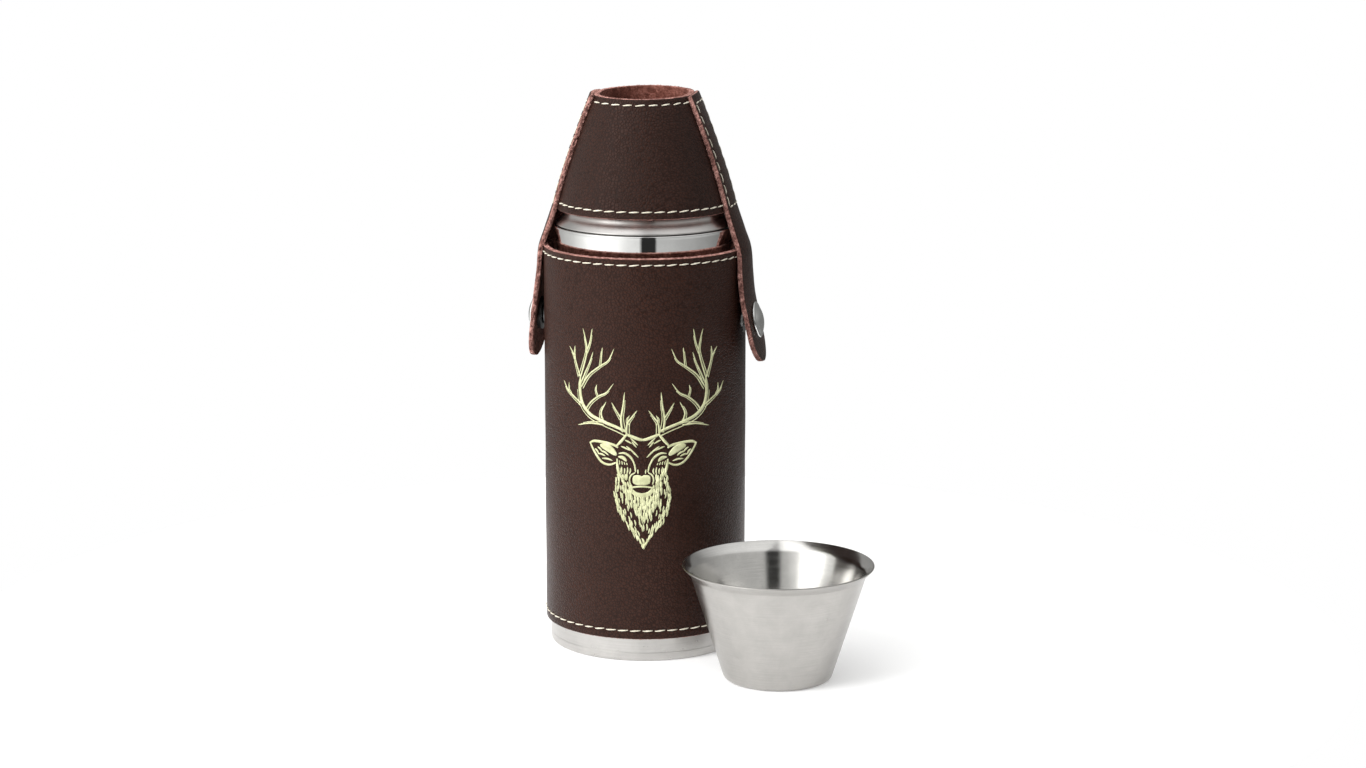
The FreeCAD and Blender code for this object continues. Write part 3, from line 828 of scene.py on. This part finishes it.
def build_vessel():
    """Wall and base; extra points next to the corners keep their shading crisp."""
    low, high = box_mm("vessel_tube")
    r, t, near, inset = high.x, VESSEL_SHEET, 0.12, 0.04
    profile = [(r - t, low.z), (r - inset, low.z), (r, low.z + inset), (r, low.z + near),
               (r, low.z + 4.0), (r, high.z - near), (r, high.z), (r - t, high.z)]
    attach(lathe("vessel_wall", profile, [SATIN]), "flask", "satin_steel", "vessel_tube")

    top, e = box_mm("vessel_base")[1].z, VESSEL_EDGE_R
    under = [(PIN, 0.0), (PIN_RING, 0.0), (10, 0.0), (19.0, 0.0), (19.8, 0.8), (21.2, 0.8), (22.0, 0.0)]
    above = [(22.3, t), (21.5, 1.4), (19.5, 1.4), (18.7, t), (PIN_RING, t), (PIN, t)]
    side = [(r, top - near), (r, top - inset), (r - inset, top), (r - t, top)]
    profile = (under + arc((r - e, e), e, -90, 0, 12) + side + arc((r - e, e), e - t, 0, -90, 12) + above)
    attach(lathe("vessel_bottom", profile, [SATIN]), "flask", "satin_steel", "vessel_base")


build_cups()
build_collar()
build_vessel()

# ---- cover and straps ----
COVER_PROFILE = ((122.3, 24.4), (138.2, 19.9), (154.2, 14.2))      # height, radius of the outside
COVER_LOW_Z, COVER_TOP_Z = COVER_PROFILE[0][0], COVER_PROFILE[2][0]
# radius of a strap's bend across its width, by height
STRAP_BOW = ((80, 80.0), (92, 44.0), (106, 28.0), (113, 25.0), (120, 25.0), (126, 28.0), (132, 32.0),
             (156, 34.0))
STRAP_TWIST = ((104, 0.0), (118, 2.8), (124, 3.6), (140, 4.6), (156, 5.0))      # degrees, by height
# middle of each strap below the cover: distance from the axis, height
TAIL_LINES = {
    "right": [(27.15, 116.6), (28.85, 111.6), (29.35, 105.0), (29.9, 98.3), (31.1, 92.0),
              (33.2, 80.6)],
    "left": [(27.15, 116.6), (28.85, 111.6), (29.4, 105.0), (30.1, 98.3), (30.75, 92.0),
             (31.65, 79.8)],
}
SIDE_TURN = {"right": COVER_TURN, "left": COVER_TURN + pi}
SNAP_Z = 92.0
SNAP_CAP_R = 5.0
SNAP_ROLL_R = 0.38          # rolled edge of the snap cap
SNAP_DOME = 1.35


def cover_mean(z):
    """Mean outside radius of the cover: a curve through its three profile points."""
    (z0, r0), (z1, r1), (z2, r2) = COVER_PROFILE
    return (r0 * (z - z1) * (z - z2) / ((z0 - z1) * (z0 - z2))
            + r1 * (z - z0) * (z - z2) / ((z1 - z0) * (z1 - z2))
            + r2 * (z - z0) * (z - z1) / ((z2 - z0) * (z2 - z1)))


def strap_twist(z):
    """The sewn part of the straps has crept round the flask a little, as an angle."""
    return radians(read(STRAP_TWIST, z))


def squeeze(z):
    """How far the cover is flattened where a strap is sewn to it."""
    return 0.052 * max(0.0, (z - 121.0) / 33.0) ** 1.4


def cover_side(z):
    """Distance of the cover's outside from the axis under the middle of a strap."""
    return cover_mean(z) * (1 - squeeze(z))


def cover_radius(angle, z, inwards=0.0):
    """Outside of the cover: flattened by the two straps, round in front and behind."""
    local = angle - COVER_TURN - strap_twist(z)
    c, s2 = abs(cos(local)), sin(local) ** 2
    flat, bow = cover_side(z) - inwards, read(STRAP_BOW, z)
    if s2 < 1e-9:
        under = flat
    else:
        under = (-c + sqrt(c * c + 2 * flat * s2 / bow)) * bow / s2
    free = cover_mean(z) * (1 + 0.6 * squeeze(z)) - inwards
    soft = 0.22
    least = min(under, free)
    blend = exp((least - under) / soft) + exp((least - free) / soft)
    return least - soft * log(blend) + 0.05


def cover_outer(angle, z):
    circumference = TAU * cover_mean(z)
    pitch = circumference / round(circumference / STITCH_PITCH)
    u = angle * cover_mean(z)
    turn = COVER_TURN + strap_twist(z)
    open_side = abs(sin(angle - turn)) * cover_mean(z) > STRAP_W / 2 + 0.5
    dip, share = 0.0, 0.2
    if open_side:
        dip, share = stitch_dip(u, pitch, z - COVER_ROW_TOP) + stitch_dip(u, pitch, z - COVER_ROW_LOW), 1
    return cover_radius(angle, z) - dip + wobble(*polar(20, angle, z), 11.0, 0.10) * share


def cover_inner(angle, z):
    return cover_radius(angle, z, LEATHER_T) + wobble(*polar(20, angle, z), 2.4, 0.10)


def cover_top_lift(angle, z):
    """The top edge dips a little between the straps in front and stands up behind."""
    share = max(0.0, (z - 146.0) / 8.2)
    back = sin(angle - COVER_TURN)
    return share * back * back * (0.55 if back > 0 else -0.45)


def build_cover():
    cone = leather_tube("cover", cover_inner, cover_outer, COVER_LOW_Z, COVER_TOP_Z, 100, 720,
                        edges=(0.30, 0.05), lift=cover_top_lift, skin=SHADED_COVER_LEATHER)
    attach(cone, "cover", "brown_leather", "cover_cone")
    for end, z in (("top", COVER_ROW_TOP), ("bottom", COVER_ROW_LOW)):
        count = round(TAU * cover_mean(z) / STITCH_PITCH)
        under_strap = (STRAP_W / 2 - 0.2) / cover_mean(z)
        turn = COVER_TURN + strap_twist(z)
        angles = [turn + TAU * (i + 0.5) / count for i in range(count)]
        spots = [cover_spot(a, z) for a in angles if abs(sin(a - turn)) > under_strap]
        stitch_row("cover_%s_stitches" % end, spots, "cover", "cover_%s_thread" % end)
    back_angle = COVER_TURN + pi / 2
    spots = []
    for i in range(int((COVER_ROW_TOP - COVER_ROW_LOW - 4) / STITCH_PITCH)):
        z = COVER_ROW_LOW + 3.4 + i * STITCH_PITCH
        here, _, normal = cover_spot(back_angle, z)
        above = cover_spot(back_angle, z + 0.5)[0]
        spots.append((here, above - here, normal))
    stitch_row("cover_back_stitches", spots, "cover", "cover_back_thread")


def cover_spot(angle, z):
    """Where a stitch lies on the cover, the level direction there and the normal."""
    def point(a, h):
        return Vector(polar(cover_outer(a, h), a, h + cover_top_lift(a, h)))
    here = point(angle, z)
    level = point(angle + 0.01, z) - here
    up = point(angle, z + 0.3) - here
    normal = level.cross(up).normalized()
    return here + normal * STITCH_LIFT, level.normalized(), normal


build_cover()


class Strap:
    """One leather strap: a centre line in the radius-height plane of its side, and its width."""

    def __init__(self, side):
        self.turn = SIDE_TURN[side]
        top = COVER_TOP_Z + 0.12
        sewn = [(cover_side(z) + STRAP_T / 2, z) for z in (top, 149.0, 143.0, 137.0, 131.0, 126.0, 123.6)]
        line = along([Vector((r, z, 0)) for r, z in sewn + TAIL_LINES[side]], 14)
        self.points = [(p.x, p.y) for p in line]
        self.travel = [0.0]
        for (r0, z0), (r1, z1) in zip(self.points, self.points[1:]):
            self.travel.append(self.travel[-1] + hypot(r1 - r0, z1 - z0))
        self.length = self.travel[-1]

    def middle(self, s):
        """Radius, height and outward normal of the centre line at a distance from its top."""
        last = len(self.travel) - 1
        k = max(1, next((i for i, t in enumerate(self.travel) if t >= s), last))
        span = self.travel[k] - self.travel[k - 1]
        t = (s - self.travel[k - 1]) / span
        (r0, z0), (r1, z1) = self.points[k - 1], self.points[k]
        run = hypot(r1 - r0, z1 - z0)
        return r0 + (r1 - r0) * t, z0 + (z1 - z0) * t, (-(z1 - z0) / run, (r1 - r0) / run)

    def distance_to(self, z):
        return next(t for (r, h), t in zip(self.points, self.travel) if h <= z)

    def spot(self, s, w, proud):
        """Point at distance s down the strap, w across it, proud of its middle; with its normal."""
        r, z, normal = self.middle(s)
        bow = read(STRAP_BOW, z)
        a = w / bow
        out = proud + bow
        depth = out * cos(a) - bow
        level = out * sin(a)
        radius, height = r + normal[0] * depth, z + normal[1] * depth
        turn = self.turn + strap_twist(height)
        c, q = cos(turn), sin(turn)
        here = Vector((radius * c - level * q, radius * q + level * c, height))
        face = Vector((normal[0] * cos(a) * c - sin(a) * q,
                       normal[0] * cos(a) * q + sin(a) * c, normal[1] * cos(a)))
        return here, face.normalized()


def strap_edge(s, reach, way, seed):
    """Raw edge of a strap from face to face, on the side that way says (1 or -1)."""
    out = []
    for k in range(1, EDGE_STEPS):
        f = k / EDGE_STEPS
        fuzz = noise.noise(Vector((s * 2.6, f * 3, seed))) * 0.55
        out.append((way * (reach + fuzz), -way * STRAP_T / 2 * 0.86 * (1 - 2 * f)))
    return out


def build_strap(side):
    strap = Strap(side)
    half, t = STRAP_W / 2, STRAP_T / 2
    straight = strap.length - half
    count, tip_count = 260, 36
    stations = [straight * i / count for i in range(count + 1)]
    for i in range(1, tip_count + 1):
        stations.append(straight + half * sin(pi / 2 * i / tip_count) * 0.998)
    across = 20
    rings = []
    for s in stations:
        past = max(0.0, s - straight)
        reach = max(sqrt(max(0.0, half * half - past * past)), 0.35)
        corner = min(0.28, reach * 0.5)
        end_in = 0.25 if s == 0 else 0.0
        widths = [(reach - corner) * (1 - 2 * k / across) for k in range(across + 1)]
        ring = []
        for w in widths:
            puff = 0.05 * wobble(w, s, 3.0 if side == "left" else 8.0, 5.0, 1.0)
            sunk = 0.0
            if s < strap.distance_to(123.4):
                sunk = stitch_dip(s, STRAP_PITCH, abs(w) - ROW_W, 0.14, 0.9)
            ring.append((w, t - end_in + puff - sunk))
        ring += strap_edge(s, reach, -1, 1.0)
        for w in reversed(widths):
            ring.append((w, -t + end_in + noise.noise(Vector((w * 1.4, s * 1.4, 5.0))) * 0.09))
        ring += strap_edge(s, reach, 1, 9.0)
        rings.append([strap.spot(s, w, h)[0] for w, h in ring])

    def slot_of(i, j):
        back = j - across - EDGE_STEPS
        return 0 if 0 <= j < across else 1 if 0 <= back < across else 2

    skin = closed_tube(side + "_strap_leather", rings, [LEATHER, SUEDE, CUT_EDGE], slot_of)
    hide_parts(side + "_strap", side + "_strap_tail")
    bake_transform(skin)

    first, last = strap.distance_to(COVER_ROW_TOP - 0.2), strap.distance_to(COVER_ROW_LOW - 0.3)
    along_count = round((last - first) / STRAP_PITCH)
    across_count = round(2 * ROW_W / STRAP_PITCH)
    places = [(first + (last - first) * (i + 0.5) / along_count, w, False)
              for w in (-ROW_W, ROW_W) for i in range(along_count)]
    places += [(s, -ROW_W + 2 * ROW_W * (i + 0.5) / across_count, True)
               for s in (first, last) for i in range(across_count)]
    spots, proud, step = [], t - 0.03, 0.3
    for s, w, crosswise in places:
        here, normal = strap.spot(s, w, proud)
        ahead = strap.spot(s, w + step, proud)[0] if crosswise else strap.spot(s + step, w, proud)[0]
        spots.append((here, ahead - here, normal))
    stitch_row(side + "_strap_stitches", spots, "cover", side + "_strap_thread")
    build_snap_cap(side, strap)


def build_snap_cap(side, strap):
    """Domed press-stud cap with a rolled edge, sunk into the strap."""
    here, normal = strap.spot(strap.distance_to(SNAP_Z), 0.0, STRAP_T / 2 - 0.2)
    rim, pole, sink = SNAP_ROLL_R, 0.02, 0.1
    roll_r = SNAP_CAP_R - rim
    profile = [(pole, -sink), (roll_r, -sink)] + arc((roll_r, rim - 0.05), rim, -80, 60, 10)
    for i in range(1, 25):
        f = 1 - i / 24
        r = (roll_r - 0.15) * f
        profile.append((max(r, pole), rim + 0.18 + SNAP_DOME * (1 - f * f) ** 0.9))
    cap = lathe(side + "_snap_dome", profile, [SNAP], steps=96)
    turn = normal.to_track_quat("Z", "Y").to_matrix().to_4x4()
    cap.data.transform(Matrix.Translation(here * MM) @ turn)
    attach(cap, side + "_tail", "snap_metal", side + "_snap_cap")


for side in ("right", "left"):
    build_strap(side)


# ---- materials of the CAD nodes that stay ----
SHADED_SNAP_PARTS = ("_snap_socket", "_stud")       # these parts take a rougher copy of the snap metal at 0.22 of its colour: the darkness is painted shade where they sit behind the straps
MATERIAL_OF = {
    "satin_steel": SATIN, "polished_steel": POLISHED, "snap_metal": SNAP,
    "liner_plastic": PLASTIC, "gasket_rubber": RUBBER,
    "brown_leather": LEATHER, "cream_thread": THREAD,
}
for sub in frame["record"]["subparts"]:
    node = frame["nodes"][sub["node"]]
    chosen = SNAP_PAINTED_SHADE if sub["node"].endswith(SHADED_SNAP_PARTS) else MATERIAL_OF[sub["material_slot"]]
    for slot_number in range(len(node.material_slots)):
        node.material_slots[slot_number].material = chosen


# ---- stage, light and camera ----
# brightness of the studio by bearing in degrees: -90 is the camera's side, seen through a gap between two
# white cards, 0 the right and -140 the key side
PANELS = ((-180, 0.95), (-165, 1.15), (-150, 1.35), (-125, 1.30), (-110, 1.10), (-97, 1.00), (-93, 0.03),
          (-76, 0.03), (-73, 0.64), (-25, 0.60), (0, 0.52), (30, 0.34), (60, 0.26), (100, 0.32),
          (140, 0.52), (165, 0.70), (180, 0.95))
# times this near the horizon, where dark curtains hang in front
LOW_BAND = ((-180, 1.2), (-150, 1.5), (-125, 1.4), (-114, 0.7), (-104, 0.2), (-60, 0.2), (-20, 0.4),
            (40, 0.7), (100, 1.0), (180, 1.2))
LOW_HEIGHTS = (-0.40, -0.29, 0.0, 0.24)         # sines of elevation
# and times this above it, where the key side is brightest
HIGH_BAND = ((-180, 0.9), (-165, 1.0), (-152, 2.0), (-130, 2.0), (-119, 0.9), (-104, 0.6), (-78, 0.6),
             (-70, 0.95), (20, 0.9), (180, 0.9))
HIGH_HEIGHTS = (0.05, 0.25, 0.50, 0.70)
OVERHEAD = 0.42
FLOOR_R = 198.0             # round table top
FLOOR_SIDES = 180
CAMERA_DOWN = 11.55         # degrees that the camera looks down


def stage():
    floor_material = Shader("pale_floor")
    floor_material.set(Base_Color=(0.74, 0.74, 0.74, 1.0), Roughness=0.9,
                       Emission_Color=(1.0, 1.0, 1.0, 1.0), Emission_Strength=0.30)
    rim = [polar(FLOOR_R, TAU * i / FLOOR_SIDES) for i in range(FLOOR_SIDES)]
    floor = make_object("floor", rim, [tuple(range(FLOOR_SIDES))], [floor_material.material], smooth=False)


def softbox(name, place, target, width, height, power):
    light = bpy.data.lights.new(name, "AREA")
    light.shape = "RECTANGLE"
    light.size = width * MM
    light.size_y = height * MM
    light.energy = power
    holder = add(name, light)
    holder.location = Vector(place) * MM
    holder.rotation_euler = (Vector(target) - Vector(place)).to_track_quat("-Z", "Y").to_euler()
    return holder


def surroundings():
    """Plain studio: white to the eye; for light and reflections, panels round the object by bearing."""
    world = bpy.data.worlds.new("studio")
    bpy.context.scene.world = world
    world.use_nodes = True
    s = Nodes(world.node_tree)
    split = s.node("ShaderNodeSeparateXYZ")
    s.link(s.node("ShaderNodeTexCoord").outputs["Generated"], split.inputs[0])
    x, y, height = split.outputs

    def mapped(value, low, high, top=1.0):
        return s.fed("ShaderNodeMapRange", 0, Value=value, From_Min=low, From_Max=high, To_Max=top)

    turn = mapped(s.math("ARCTAN2", y, x), -pi, pi)
    lifted = s.math("MULTIPLY", s.math("ADD", height, 1.0), 0.5)

    def by_bearing(levels):
        return s.ramp(turn, *(((degrees + 180) / 360, (level, level, level * 0.99))
                              for degrees, level in levels))

    def between(heights):
        """Mask by height: 0 at the first and last heights, 1 at the two between."""
        return s.ramp(lifted, *(((at + 1) / 2, (level,)) for at, level in zip(heights, (0, 1, 1, 0))))

    ring = s.blend("MULTIPLY", between(LOW_HEIGHTS), by_bearing(PANELS), by_bearing(LOW_BAND))
    ring = s.blend("MULTIPLY", between(HIGH_HEIGHTS), ring, by_bearing(HIGH_BAND))
    total = s.blend("ADD", 1.0, ring, mapped(height, 0.45, 0.80, OVERHEAD))
    eye = s.node("ShaderNodeLightPath").outputs["Is Camera Ray"]
    seen = s.blend("MIX", eye, total, (1.0, 1.0, 1.0, 1.0))
    s.link(seen, s.tree.nodes["Background"].inputs[0])


def camera():
    """Long lens in front of the flask, looking down on it a little."""
    lens = bpy.data.cameras.new("camera")
    lens.sensor_width = 36.0
    lens.lens = 80.6
    holder = add("camera", lens)
    holder.location = Vector((10.57, -837.3, 243.7)) * MM
    holder.rotation_euler = (radians(90 - CAMERA_DOWN), 0.0, 0.0)
    lens.clip_start = 0.01
    bpy.context.scene.camera = holder


stage()
surroundings()
softbox("key", (-620, -480, 620), (0, 0, 80), 420, 420, 6.5).visible_glossy = False
softbox("top", (0, 60, 900), (0, 0, 60), 900, 900, 3.4).visible_glossy = False
camera()
bpy.context.scene.view_settings.view_transform = "Standard"
